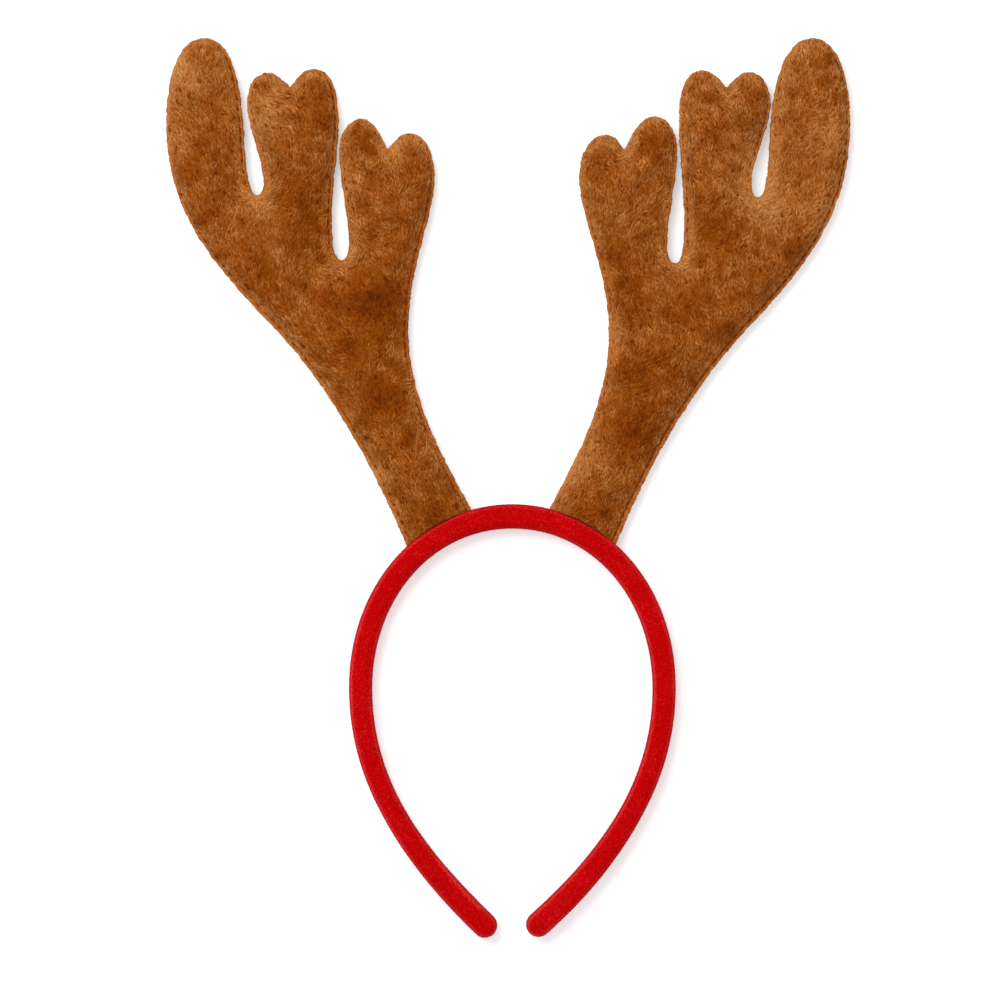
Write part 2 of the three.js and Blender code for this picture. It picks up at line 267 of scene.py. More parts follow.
# %% The pattern's knots and its placed outline
antler_height, antler_reach, antler_spacing, stem_sink = 193.8, 108.0, 57.8, 5.0
foot_reach = 0.25  # a foot is glued on so tightly that it presses this far into the nap
# across, up, heading on arrival, heading on leaving, then how far the curve holds its way in and out
pattern = [
    (0.118, -0.046, 22.5, 22.5, 0, 0.33),
    (0.622, 0.413, 44, 44, 0.33, 0.46),
    (1.0, 0.827, 0, 0, 0.34, 0.38),
    (0.86, 1.0, -90, -90, 0.32, 0.27),
    (0.704, 0.784, 183, 183, 0.5, 0.64),
    (0.657, 0.675, -90, -90, 0.14, 0.26),
    (0.634, 0.701, 0, 0, 0.5, 0.27),
    (0.702, 0.864, 0, 0, 0.27, 0.48),
    (0.623, 0.929, -90, -90, 0.34, 0.3),
    (0.543, 0.902, -140, -42, 0.3, 0.3),
    (0.457, 0.935, -90, -90, 0.38, 0.31),
    (0.362, 0.815, 180, 180, 0.59, 0.2),
    (0.384, 0.609, 180, 180, 0.45, 0.57),
    (0.349, 0.539, -90, -90, 0.18, 0.3),
    (0.32, 0.573, 0, 0, 0.42, 0.28),
    (0.357, 0.764, 0, 0, 0.28, 0.5),
    (0.273, 0.836, -90, -90, 0.3, 0.3),
    (0.169, 0.774, -155, -35, 0.3, 0.3),
    (0.099, 0.802, -90, -90, 0.32, 0.36),
    (0.0, 0.709, 180, 180, 0.44, 0.24),
    (0.105, 0.395, 180, 180, 0.4, 0.36),
    (-0.119, 0.031, -152, -152, 0.33, 0),
]
antlers = {
    "left": {"outward": -1, "lean": 0.3, "set_out": 1.0, "set_up": 0.4},
    "right": {"outward": 1, "lean": -0.3, "set_out": -1.0, "set_up": -0.4},
}
# how far each knot went astray in cutting and sewing, outwards and up, by its row in the pattern
astray = {
    -1: {
        2: (-0.3, 0), 3: (-0.5, -0.2), 4: (0.5, 0), 5: (0.5, 0), 6: (0.4, 0), 7: (-0.5, -0.2),
        8: (-0.5, -0.4), 9: (-0.5, -1.1), 10: (-0.2, -0.1), 11: (-0.3, 0), 12: (0.3, 0), 13: (0.3, 0),
        14: (0.3, 0), 16: (0, -1.0), 17: (1.0, -1.4), 18: (0, -0.3), 19: (0.5, 0), 21: (0.3, 0),
    },
    1: {
        0: (0.6, 0), 1: (0.9, -0.8), 3: (0.3, -0.4), 4: (-0.3, 0), 5: (0, -0.8), 6: (0, -0.3),
        7: (0.4, 0), 9: (0, -0.9), 10: (0, -0.4), 11: (0.5, 0), 13: (0, -0.7), 15: (0.2, 0.2),
        16: (0, 0.6), 17: (-0.6, -0.8), 19: (-0.4, 0), 20: (-0.2, 0),
    },
}


def way_of(heading):
    return np.array([math.sin(math.radians(heading)), math.cos(math.radians(heading))])


def foot_on_band():
    """Where a stem's middle stands, on the outer edge of the hoop's right half, from the crown."""
    edge = hoop + hoop_out * hoop_thickness[:, None] / 2 - crown
    right = edge[len(hoop) // 2 :]
    return np.array([antler_spacing / 2, np.interp(antler_spacing / 2, right[:60, 0], right[:60, 1])])


def placed_outline(outward, lean, set_out, set_up):
    """The sewn edge of one antler from foot to foot, run on by stem_sink at both ends."""
    knots = [np.array([row[0] * antler_reach, row[1] * antler_height]) for row in pattern]
    for number, shift in astray[outward].items():
        knots[number] = knots[number] + shift
    line = [knots[0] - stem_sink * way_of(pattern[0][2])]
    for i in range(len(knots) - 1):
        chord = np.linalg.norm(knots[i + 1] - knots[i])
        leave = knots[i] + way_of(pattern[i][3]) * pattern[i][5] * chord
        arrive = knots[i + 1] - way_of(pattern[i + 1][2]) * pattern[i + 1][4] * chord
        line.extend(cubic(knots[i], leave, arrive, knots[i + 1], 60)[0 if i == 0 else 1 :])
    line.append(knots[-1] + stem_sink * way_of(pattern[-1][2]))
    turn = math.radians(-lean)
    spin = np.array([[math.cos(turn), math.sin(turn)], [-math.sin(turn), math.cos(turn)]])
    line = np.array(line) @ spin + foot_on_band() + [set_out, set_up]
    line = line * [outward, 1] + crown
    return line if outward > 0 else line[::-1]


for side, setting in antlers.items():
    line = placed_outline(**setting)
    node_box = [round(v / MM, 1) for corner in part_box(side + "_antler_front") for v in corner]
    print(side, "outline", line.min(0).round(1), line.max(0).round(1), "node", node_box)

# %% [markdown]
# ## Panels as fine meshes
# A panel is plush cut to the outline. It's flat along its sewn rim and then swells with stuffing.
# Rows of points that follow the edge carry the rim, the groove of the stitches and the puckers, and a
# honeycomb of points fills the middle. A triangulation that must keep the outline joins them, which
# holds the slots between the tines open, as a remesh would not.

# %% Distances from the sewn edge
def from_edge(points, line, chunk=4000):
    """Distance to the line, the nearest place along it, and the way from there to the point."""
    a, step = line[:-1], np.diff(line, axis=0)
    length = np.linalg.norm(step, axis=1)
    start = walked(line)[:-1]
    away, place, way = np.empty(len(points)), np.empty(len(points)), np.empty((len(points), 2))
    for first in range(0, len(points), chunk):
        p = points[first : first + chunk, None, :]
        share = (((p - a) * step).sum(-1) / length**2).clip(0, 1)
        gap = p - (a + share[..., None] * step)
        distance = np.hypot(gap[..., 0], gap[..., 1])
        near = distance.argmin(1)
        rows = np.arange(len(near))
        away[first : first + chunk] = distance[rows, near]
        place[first : first + chunk] = start[near] + share[rows, near] * length[near]
        way[first : first + chunk] = gap[rows, near] / np.maximum(distance[rows, near], 1e-6)[:, None]
    return away, place, way


def joined_inside(loop, spots):
    """Triangles over a loop and the spots inside it, which keep the loop as their outline."""
    everything = [Vector(p) for p in (*loop, *spots)]
    edges = [(i, (i + 1) % len(loop)) for i in range(len(loop))]
    corners, _, faces, *_ = geometry.delaunay_2d_cdt(everything, edges, [], 1, 1e-4)
    return np.array([tuple(c) for c in corners]), np.array([list(f) for f in faces])


def is_inside(points, loop):
    x, y = points[:, 0], points[:, 1]
    inside = np.zeros(len(points), bool)
    for a, b in zip(loop, np.roll(loop, -1, axis=0)):
        if a[1] == b[1]:
            continue
        crosses = (a[1] > y) != (b[1] > y)
        inside ^= crosses & (x < a[0] + (b[0] - a[0]) * (y - a[1]) / (b[1] - a[1]))
    return inside


# %% Spread a panel's points and join them
def thinned(row, least):
    """Only those points of a row that lie at least so far beyond the last one kept."""
    gaps = np.linalg.norm(np.diff(row, axis=0), axis=1)
    kept, since = [], np.inf
    for i in range(len(row)):
        since += gaps[i - 1] if i else 0
        if since > least:
            kept.append(i)
            since = 0.0
    return row[kept]


def honeycomb(loop, grid):
    low, high = loop.min(0), loop.max(0)
    columns = np.arange(low[0], high[0], grid)
    lines = np.arange(low[1], high[1], grid * math.sqrt(3) / 2)
    comb = np.array([(x + (k % 2) * grid / 2, y) for k, y in enumerate(lines) for x in columns])
    return comb[is_inside(comb, loop)]


def spread_points(sewn, closing, rows, grid):
    """Corners and triangles of a flat panel: the edge first, then rows along it, then a honeycomb."""
    loop = np.vstack([sewn, closing[1:-1]]) if len(closing) > 2 else sewn
    inward = left_of(unit(np.gradient(sewn, axis=0)))
    spots = []
    for distance in rows:
        row = sewn + inward * distance
        away, _, _ = from_edge(row, sewn)
        spots.append(thinned(row[(away > distance - 0.05) & is_inside(row, loop)], 0.55 * grid))
    comb = honeycomb(loop, grid)
    away, _, _ = from_edge(comb, sewn)
    spots.append(comb[away > rows[-1] + 0.6 * grid])
    spots = np.vstack(spots)
    to_closing, _, _ = from_edge(spots, closing)
    spots = spots[to_closing > 0.45 * grid]
    corners, faces = joined_inside(loop, spots)
    return corners, faces, len(loop)


# %% Cut each outline where the stem meets the band
def cut_at_band(line):
    """The sewn edge as far as the band's outer edge, and the seat line that closes it."""
    middle_way = np.linalg.norm(line[:, None] - hoop[None], axis=2)
    near = middle_way.argmin(1)
    beyond = middle_way[np.arange(len(line)), near] - hoop_thickness[near] / 2 + foot_reach
    keep = np.flatnonzero(beyond > 0)
    first, last = keep[0], keep[-1]
    ends = []
    for inner, outer in ((first - 1, first), (last + 1, last)):
        share = beyond[inner] / (beyond[inner] - beyond[outer])
        ends.append(line[inner] + share * (line[outer] - line[inner]))
    sewn = np.vstack([ends[0], line[first : last + 1], ends[1]])
    seat_edge = hoop + hoop_out * (hoop_thickness[:, None] / 2 - foot_reach)
    i = np.linalg.norm(seat_edge - ends[1], axis=1).argmin()
    j = np.linalg.norm(seat_edge - ends[0], axis=1).argmin()
    between = seat_edge[i + 1 : j] if i < j else seat_edge[j + 1 : i][::-1]
    return sewn, evenly(np.vstack([ends[1], between, ends[0]]), step=1.2)


edge_step = 0.9
edges_of = {}
for side, setting in antlers.items():
    outline = evenly(placed_outline(**setting), step=edge_step)
    sewn, seat = cut_at_band(outline)
    edges_of[side] = {"outline": outline, "sewn": evenly(sewn, step=edge_step), "seat": seat}
    print(side, "sewn edge is", walked(sewn)[-1].round(1), "mm long, its seat", walked(seat)[-1].round(1))

# %% [markdown]
# ## Stuffing the antlers
# Two panels sewn together and filled with fibre swell between their seams. Blender's Cloth with
# pressure does the same: a closed bag of both panels is held along its rim and stitches, starts a
# little slack and is blown up for a few frames, with no gravity. The cloth is a little roomier than its
# outline, so it puckers along the seams and round the ends of the slots. The bag is coarse, and
# its shape is then read onto the fine panels.

# %% Blow up a coarse bag for each antler
front_height, back_height = 7.6, 7.0
rim_half, stitch_inset, swell = 1.35, 1.6, 6.0
bag_grid = 2.0
bag_slack = 0.86  # the bag starts at this share of its full height
frames, pressure, most_move = 20, 4.0, 2.6


def stuffed_height(away, full):
    return rim_half + (full - rim_half) * np.tanh(np.maximum(away - stitch_inset, 0) / swell)


def make_bag(side):
    outline = evenly(edges_of[side]["outline"], step=0.9 * bag_grid)
    closing = evenly(np.vstack([outline[-1], outline[0]]), step=0.9 * bag_grid)
    flat, faces, _ = spread_points(outline, closing, [stitch_inset], bag_grid)
    loop = np.vstack([outline, closing[1:-1], outline[:1]])
    away, _, _ = from_edge(flat, loop)
    front = np.column_stack([flat, bag_slack * stuffed_height(away, front_height)])
    back = np.column_stack([flat, -bag_slack * stuffed_height(away, back_height)])
    on_rim = away < 0.01
    front[on_rim, 2] = 0
    twin = np.arange(len(flat)) + len(flat)
    twin[on_rim] = np.flatnonzero(on_rim)
    points = np.vstack([front, back])
    bag = make_piece("bag_" + side, points, np.vstack([faces, twin[faces][:, ::-1]]))
    held = bag.vertex_groups.new(name="held")
    fixed = np.flatnonzero(away < stitch_inset + 0.1)
    held.add([int(i) for i in np.concatenate([fixed, fixed + len(flat)])], 1.0, "REPLACE")
    return bag, flat, faces


def add_pressure(bag):
    """Plush-like cloth, cut 5% too roomy and held along the rim, with the stuffing as pressure inside."""
    cloth = bag.modifiers.new("stuffing", "CLOTH")
    setting = cloth.settings
    setting.quality = 6
    setting.mass = 0.3
    setting.tension_stiffness = setting.compression_stiffness = 12
    setting.shear_stiffness = 6
    setting.bending_stiffness = 0.4
    setting.vertex_group_mass = "held"
    setting.use_pressure = True
    setting.uniform_pressure_force = pressure
    setting.shrink_min = setting.shrink_max = -0.05
    setting.effector_weights.gravity = 0
    cloth.collision_settings.use_collision = False
    cloth.point_cache.frame_start, cloth.point_cache.frame_end = 1, frames


def blow_up(bags):
    for bag in bags:
        add_pressure(bag)
    scene = bpy.context.scene
    for step in range(1, frames + 1):
        scene.frame_set(step)
    graph = bpy.context.evaluated_depsgraph_get()
    shapes = [corners_of(bag.evaluated_get(graph).data) for bag in bags]
    scene.frame_set(1)
    return shapes


bags = {side: make_bag(side) for side in antlers}
start_shape = {side: corners_of(bag.data) for side, (bag, _, _) in bags.items()}
blown = dict(zip(antlers, blow_up([bags[side][0] for side in antlers])))
for side in antlers:
    move = blown[side] - start_shape[side]
    size = np.linalg.norm(move, axis=1)
    print(side, "bag moved up to", size.max().round(2), "mm, mean", size.mean().round(2), "mm")
    move *= (most_move / np.maximum(size, most_move))[:, None]
    blown[side] = start_shape[side] + move
    print("   it now reaches from", blown[side][:, 2].min().round(2), "to", blown[side][:, 2].max().round(2))

# %% [markdown]
# ## The fine panels
# Each fine panel takes its swell from the blown-up bag. Its rim is flat with a rounded edge, and the
# topstitches pull a groove into it, a little deeper under every stitch, with small puckers
# beside them. Round the ends of the slots and in the notches the real one shows no stitches, so the
# groove fades out there. The plush tucks in below the notches, and the feet are pressed thin against
# the band. The backs lie on the table and are pressed flat. A displacement texture could carry the
# groove, but it would have to know the way to the nearest edge, so the points are moved directly.

# %% How tightly the edge turns, and where it is stitched
stitch_pitch, stitch_length, groove_depth = 4.2, 2.9, 0.38
turn_reach = 3.6  # the edge's turn is measured over this far to both sides
hollow_from, hollow_over = 25, 35  # in degrees: no hollow below the first, a full one when both are passed


def edge_facts(sewn):
    """For each point of a sewn edge: place along it, inward way, and how hollow it is from 0 to 1."""
    place = walked(sewn)
    way = unit(np.gradient(sewn, axis=0))
    heading = np.unwrap(np.arctan2(way[:, 1], way[:, 0]))
    ahead, behind = (np.interp(place + far, place, heading) for far in (turn_reach, -turn_reach))
    hollow = ((-np.degrees(ahead - behind) - hollow_from) / hollow_over).clip(0, 1)
    spread = fade(np.arange(-6, 7), 3.5)
    hollow = np.convolve(hollow, spread / spread.sum(), mode="same").clip(0, 1)
    return place, left_of(way), hollow * hollow * (3 - 2 * hollow)


def stitch_beat(place):
    """1 at the middle of each stitch and -1 halfway between two."""
    return np.cos(2 * np.pi * place / stitch_pitch)


def stitch_line(spots):
    """How far in from the edge the stitches run: a little further in beside the stems."""
    return stitch_inset - 0.3 + 0.6 * ((70 - spots[:, 1]) / 60).clip(0, 1)


def stitch_shows(spots, outward):
    """How well the stitches show, 0 to 1: best beside the stems and on rims that face down the picture
    and to its right, while the pile lies over most of them on the others. It also sets how much
    painted shade lies in the groove along them."""
    facing = outward @ np.array([0.6, -0.8])
    beside_stem = ((60 - spots[:, 1]) / 60).clip(0, 1)
    return (0.43 + 0.42 * facing + 0.35 * beside_stem + 0.25 * soft_noise(spots, 14, 41)).clip(0.05, 1)


def scalloped(sewn):
    """The sewn edge, drawn in a little at every stitch and cut a little unevenly by hand."""
    place, inward, hollow = edge_facts(sewn)
    drawn = 0.06 * stitch_beat(place) * (1 - hollow)
    uneven = 0.04 + 0.12 * soft_noise(sewn, 5, 21)
    ends = np.minimum(place, place[-1] - place).clip(0, 4) / 4
    return sewn + inward * ((drawn + uneven) * ends)[:, None]


# %% Read the swell from the bag
def read_bag(side, flat, backwards):
    """The move and height of the blown-up bag over each flat point of a panel."""
    _, bag_flat, faces = bags[side]
    shape = blown[side][len(bag_flat) :] if backwards else blown[side][: len(bag_flat)]
    tree = BVHTree.FromPolygons([(x, y, 0) for x, y in bag_flat], faces.tolist())
    out = np.empty((len(flat), 3))
    for k, (x, y) in enumerate(flat):
        spot, _, face, _ = tree.find_nearest((x, y, 0))
        a, b, c = bag_flat[faces[face]]
        area = (b[0] - a[0]) * (c[1] - a[1]) - (b[1] - a[1]) * (c[0] - a[0])
        u = ((b[0] - spot.x) * (c[1] - spot.y) - (b[1] - spot.y) * (c[0] - spot.x)) / area
        v = ((c[0] - spot.x) * (a[1] - spot.y) - (c[1] - spot.y) * (a[0] - spot.x)) / area
        out[k] = (np.array([u, v, 1 - u - v])[:, None] * shape[faces[face]]).sum(0)
    out[:, :2] -= flat
    return out


# %% Smooth a panel's values and find its normals
def smoothed(values, faces, rounds, where):
    """Values evened out with their neighbours' over a mesh, only at the chosen points."""
    pairs = np.vstack([faces[:, [0, 1]], faces[:, [1, 2]], faces[:, [2, 0]]])
    pairs = np.vstack([pairs, pairs[:, ::-1]])
    count = np.bincount(pairs[:, 0], minlength=len(values))
    for _ in range(rounds):
        mean = np.bincount(pairs[:, 0], values[pairs[:, 1]], len(values)) / count
        values = values + (mean - values) * 0.7 * where
    return values


def corner_normals(points, faces):
    a, b, c = (points[faces[:, k]] for k in range(3))
    across = np.cross(b - a, c - a)
    normals = np.zeros_like(points)
    for k in range(3):
        np.add.at(normals, faces[:, k], across)
    return unit(normals)


# %% The tucks below the notches
# where the plush tucks in below each heart's notch, as lines from the notch inwards
tucks = {
    "left": [((-48.2, 135.0), (-48.9, 131.6)), ((-87.0, 159.2), (-87.4, 155.4))],
    "right": [((45.4, 134.6), (42.8, 132.6)), ((88.0, 159.6), (88.3, 156.6))],
}


def near_tuck(side, flat):
    near = np.zeros(len(flat))
    for ends in tucks[side]:
        away, _, _ = from_edge(flat, np.array(ends))
        near = np.maximum(near, fade(away, 0.7))
    return near


# %% The height of a panel
row_insets = [0.3, 0.7, 1.1, 1.4, 1.6, 1.8, 2.1, 2.6, 3.4, 4.3, 5.3]
panel_grid = 1.55
press_gap = 0.45  # the backs are pressed flat this far above the table
rim_lip = 0.12  # half the thickness of the very edge
seam_gap = 0.04  # each panel's hidden inner face lies this far from the seam's level
lump_seeds = {"front": 31, "back": 32}


def edge_at(flat, sewn):
    """For each flat point: distance from the edge, place along it, way inwards, and how hollow it is."""
    place, inward, hollow = edge_facts(sewn)
    away, at, way = from_edge(flat, sewn)
    on_edge = away < 0.02
    way[on_edge] = np.column_stack([np.interp(at, place, inward[:, k]) for k in (0, 1)])[on_edge]
    return away, at, way, np.interp(at, place, hollow)


def panel_height(side, face, flat, lift, away, at, way, hollow):
    """The height over the seam: a rounded rim, a groove with puckers at the stitches, then the swell."""
    edge_round = rim_lip + (rim_half - rim_lip) * np.sqrt(1 - (1 - away.clip(0, 1)) ** 2)
    height = np.where(away < stitch_inset, edge_round, np.maximum(lift, rim_half))
    stitched = 1 - hollow
    pulled = 0.75 + 0.25 * stitch_beat(at)
    shows = stitch_shows(flat, -way)
    from_line = away - stitch_line(flat)
    height -= groove_depth * (0.4 + 0.9 * shows) * stitched * pulled * fade(from_line, 0.45)
    pucker = stitch_beat(at) * np.exp(-from_line / 3.0) * (from_line > 0)
    height -= 0.16 * stitched * pucker
    lumps = 0.22 * soft_noise(flat, 9, lump_seeds[face])
    height += lumps * (1 - np.exp(-((away - 2.2).clip(0) / 3)))
    height -= 0.7 * near_tuck(side, flat)
    to_seat, _, _ = from_edge(flat, edges_of[side]["seat"])
    return np.minimum(height, 5.2 + 0.9 * to_seat)  # the foot is pressed thin against the band


# %% Make the four panels
def closed_behind(points, faces, rim, face):
    """Adds the hidden inner face and the narrow wall that joins it to the rim, to close the panel."""
    inner_level = seam_level + (seam_gap if face == "front" else -seam_gap)
    inner = np.column_stack([points[:rim, :2], np.full(rim, inner_level)])
    loop = np.arange(rim)
    ring = loop + len(points)
    walls = np.column_stack([loop, ring, np.roll(ring, -1), np.roll(loop, -1)])
    _, under = joined_inside(points[:rim, :2], [])
    under = under[:, ::-1] + len(points)
    if face == "back":
        walls, under = walls[:, ::-1], under[:, ::-1]
    return np.vstack([points, inner]), [*faces.tolist(), *walls.tolist(), *under.tolist()]


def make_panel(side, face):
    sewn = scalloped(edges_of[side]["sewn"])
    flat, faces, rim = spread_points(sewn, edges_of[side]["seat"], row_insets, panel_grid)
    away, at, way, hollow = edge_at(flat, sewn)
    bag = read_bag(side, flat, face == "back")
    lift = smoothed(np.abs(bag[:, 2]), faces, 3, (away > 2.6).astype(float))
    height = panel_height(side, face, flat, lift, away, at, way, hollow)
    points = np.column_stack([flat + 0.6 * bag[:, :2] * (away > 2.0)[:, None], seam_level + height])
    points[:rim, :2] = flat[:rim]
    if face == "back":
        points[:, 2] = (2 * seam_level - points[:, 2]).clip(press_gap, None)
        faces = faces[:, ::-1]
    panel = make_piece(f"{side}_antler_{face}_panel", *closed_behind(points, faces, rim, face))
    facts = {"points": points, "faces": faces, "away": away, "way": way, "hollow": hollow}
    facts["normals"] = corner_normals(points, faces)
    low, high = points[:, 2].min(), points[:, 2].max()
    print(panel.name, len(panel.data.polygons), "faces, z", low.round(2), high.round(2))
    return panel, facts


panels = {(side, face): make_panel(side, face) for side in antlers for face in ("front", "back")}
for side in antlers:
    bpy.data.objects.remove(bags[side][0])

# %% [markdown]
# ## The pile
# Plush is a knitted ground with fibres a few millimetres long that lie over in swirls. Hair
# particles would not be kept as a mesh, so each fibre is a narrow blade of two triangles, with its
# root in the panel, a belly in the middle and a fine tip. They follow a flow that wanders over the
# antler, gather in small locks, grow short beside the stitches, and fan out from the ends of the
# slots. Their tones make most of the picture: larger places that were stroked the other way, with
# painted shade and painted highlight in them, soft spots, painted shade where the locks part and in
# the grooves and tucks, a painted highlight on the rims, and a little difference between one fibre and the
# next.

# %% Choose where fibres grow
def spread_roots(points, faces, count, dice):
    """Faces and shares of their corners for count roots, spread evenly over the area."""
    a, b, c = (points[faces[:, k]] for k in range(3))
    total = np.cumsum(np.linalg.norm(np.cross(b - a, c - a), axis=1))
    spots = (np.arange(count) + dice.uniform(size=count)) / count * total[-1]
    pick = np.searchsorted(total, spots).clip(0, len(faces) - 1)
    r, q = np.sqrt(dice.uniform(size=count)), dice.uniform(size=count)
    return pick, np.column_stack([1 - r, r * (1 - q), r * q])


def blend_at(values, faces, pick, shares):
    corners = values[faces[pick]]
    return np.einsum("ij,ij...->i...", shares, corners)


def across_cloth(vectors, normals):
    """What is left of each vector when it is laid flat on the cloth."""
    return vectors - normals * (vectors * normals).sum(1)[:, None]


# %% Grow blades from roots
def grow_blades(name, roots, spread, normals, lay, length, lift, width, dice, drop, gather, lowest):
    """Blades of two triangles that gather into locks. roots are the locks' middles, and spread is how
    far each blade's own root is from there. lay is the way a fibre lies over, lift its angle. Its
    outer half bends down by drop, and no point goes below lowest."""
    count = len(roots)
    lay = unit(across_cloth(lay, normals))
    mid_way = lay * np.cos(lift)[:, None] + normals * np.sin(lift)[:, None]
    low = lift - drop
    tip_way = lay * np.cos(low)[:, None] + normals * np.sin(low)[:, None]
    middle = roots + mid_way * (0.5 * length)[:, None] + spread * (1 - 0.4 * gather)
    end = roots + (mid_way + tip_way) * (0.5 * length)[:, None] + spread * (1 - gather)
    roll = dice.normal(0, 0.35, count)
    across = np.cross(normals, mid_way)
    upright = np.cross(mid_way, across)
    across = unit(across * np.cos(roll)[:, None] + upright * np.sin(roll)[:, None]) * (width / 2)[:, None]
    points = np.stack([roots + spread - normals * 0.15, middle + across, middle - across, end], axis=1)
    points[:, :, 2] = np.maximum(points[:, :, 2], lowest)
    base = np.arange(count)[:, None] * 4
    faces = np.stack([base + [0, 2, 1], base + [1, 2, 3]], axis=1).reshape(-1, 3)
    return make_piece(name, points.reshape(-1, 3), faces)


# %% Where the pile looks lighter and darker
# places of darker and lighter pile, partly stroked the other way and partly painted shade and painted
# highlight: x, y and size in millimetres
much_darker, darker, lighter, much_lighter = -0.33, -0.19, 0.16, 0.27
stroked = {
    "left": {
        much_darker: [(-52, 72, 11)],
        darker: [
            (-62, 54, 8), (-50, 35, 8), (-84, 116, 6), (-76, 105, 8), (-98, 83, 6), (-28, -12, 7),
            (-57, 136, 5),
        ],
        lighter: [(-62, 122, 6), (-97, 113, 7), (-50, 6, 6), (-45, 135, 6), (-133, 137, 6)],
        much_lighter: [(-97, 151, 9), (-129, 166, 10)],
    },
    "right": {
        much_darker: [(50, 22, 9)],
        darker: [
            (52, 44, 10), (47, 77, 9), (73, 69, 8), (36, -9, 7), (83, 105, 8), (60, 136, 6), (41, 94, 6),
        ],
        lighter: [(29, 8, 8), (94, 134, 9), (129, 141, 10), (127, 112, 10)],
        much_lighter: [(105, 113, 9)],
    },
}


def patch_tone(side, flat):
    tone = np.zeros(len(flat))
    for strength, places in stroked[side].items():
        for x, y, size in places:
            tone += strength * fade(np.hypot(flat[:, 0] - x, flat[:, 1] - y), size)
    return tone


# %% The tone of the plush
plush_base = {"left": 0.475, "right": 0.515}
patch_strength = {"front": 1.08, "back": 0.7}


def uneven_tone(dice, count):
    """Random tones with more dark ones than light ones, as between the strands of a lock."""
    value = dice.normal(size=count)
    return (value - 0.45 * (value**2 - 1)).clip(-3.5, 1.2)


def plush_tone(side, face, flat, away, way, hollow):
    """The tone of the plush: its patches, painted shade in the groove along the stitches and in the tucks
    in the notches, a painted highlight in a band just inside the stitches and on the rim, and painted
    sheen at the very edge. The rim's painted highlight is strongest on rims that face up the picture
    and to its left, towards the key light, and the edge's painted sheen on the others."""
    facing = -(way @ np.array([-0.6, 0.8]))
    # painted shade in the groove along the stitches, deepest where they show most
    painted_crease_shade = 0.28 * stitch_shows(flat, -way) * (1 - hollow) * fade(away - stitch_line(flat), 0.4)
    # painted shade in the tucks below the notches
    painted_tuck_shade = 0.28 * near_tuck(side, flat)
    # a painted highlight in a band just inside the stitches
    painted_light_inside_stitches = 0.12 * fade(away - 2.7, 1.3)
    # a painted highlight on the rim, strongest on rims that face the key light at the upper left
    painted_rim_highlight = 0.34 * np.exp(-away / 3.2) * (0.6 + 0.4 * facing)
    # painted sheen at the very edge, strongest on rims that face away from the key light
    painted_edge_sheen = 0.2 * fade(away, 0.8) * (0.6 - 0.4 * facing)
    tone = plush_base[side] + patch_tone(side, flat) * patch_strength[face]
    return tone - painted_crease_shade - painted_tuck_shade + painted_rim_highlight + painted_edge_sheen + painted_light_inside_stitches


def mottled_tone(flat, seed):
    """Soft spots of a few millimetres to a centimetre, and painted shade in small places where the locks
    part.
    """
    spots = 0.75 * (soft_noise(flat, 7, seed + 12) + soft_noise(flat, 13, seed + 14))
    # painted shade where the locks part
    parting_shade = (soft_noise(flat, 2.2, seed + 15) - 0.9).clip(0)
    return 0.14 * spots - 0.18 * spots.clip(0) ** 2 + 0.1 * soft_noise(flat, 4, seed + 13) - 0.9 * parting_shade


# %% The way the pile lies
def turned(ways, angles):
    """Ways in the plane, each turned to the left by its own angle."""
    across, up = ways.T
    cos, sin = np.cos(angles), np.sin(angles)
    return np.column_stack([across * cos - up * sin, across * sin + up * cos])


def lay_of_pile(flat, outward, seed):
    """The way the plush has been stroked, in the plane of the antler: up the tines, in swirls."""
    angle = math.pi / 2 - 0.12 * outward
    angle = angle + 0.55 * soft_noise(flat, 30, seed) + 0.4 * soft_noise(flat, 9, seed + 1)
    return np.column_stack([np.cos(angle), np.sin(angle)])


def combed(flow, away, way, hollow):
    """The flow of the pile, led along the rims and fanned out from the ends of the slots."""
    fan = 2.2 * hollow * np.exp(-away / 5.0)
    on_rim = ((2.0 - away) / 1.6).clip(0, 1) * (1 - hollow)
    along = left_of(way)
    along *= np.sign((along * flow).sum(1) + 1e-9)[:, None]
    inside, beside = (1 - on_rim)[:, None], on_rim[:, None]
    return unit(flow * inside + (along - 0.25 * way) * beside + fan[:, None] * way), fan, on_rim


# %% Cover the panels with plush
lock_length, rim_length = (1.5, 2.7), 0.6  # the pile's length, and its share of that on the rims
fibre_spread, fibre_width = 0.19, (0.16, 0.28)
fibres_per_lock = 4
blade_along = [0, 0.55, 0.55, 1]  # how far out the four corners of a blade are, for its shading


def cut_short(length, flat, away, way, hollow):
    """The pile is short in the stitches and on the rims."""
    from_line = away - stitch_line(flat)
    length = length * (1 - 0.75 * stitch_shows(flat, -way) * (1 - hollow) * fade(from_line, 0.5))
    return length * (rim_length + (1 - rim_length) * ((away - 1.0) / 2.4).clip(0, 1))


def kept_in(length, flow, lift, away, way):
    """No fibre reaches more than a quarter of a millimetre past the sewn edge."""
    reach = -(flow * way).sum(1) * length * np.cos(lift)
    allowed = away + 0.25
    return length * np.where(reach > allowed, (allowed / np.maximum(reach, 1e-6)).clip(0.25, 1), 1)


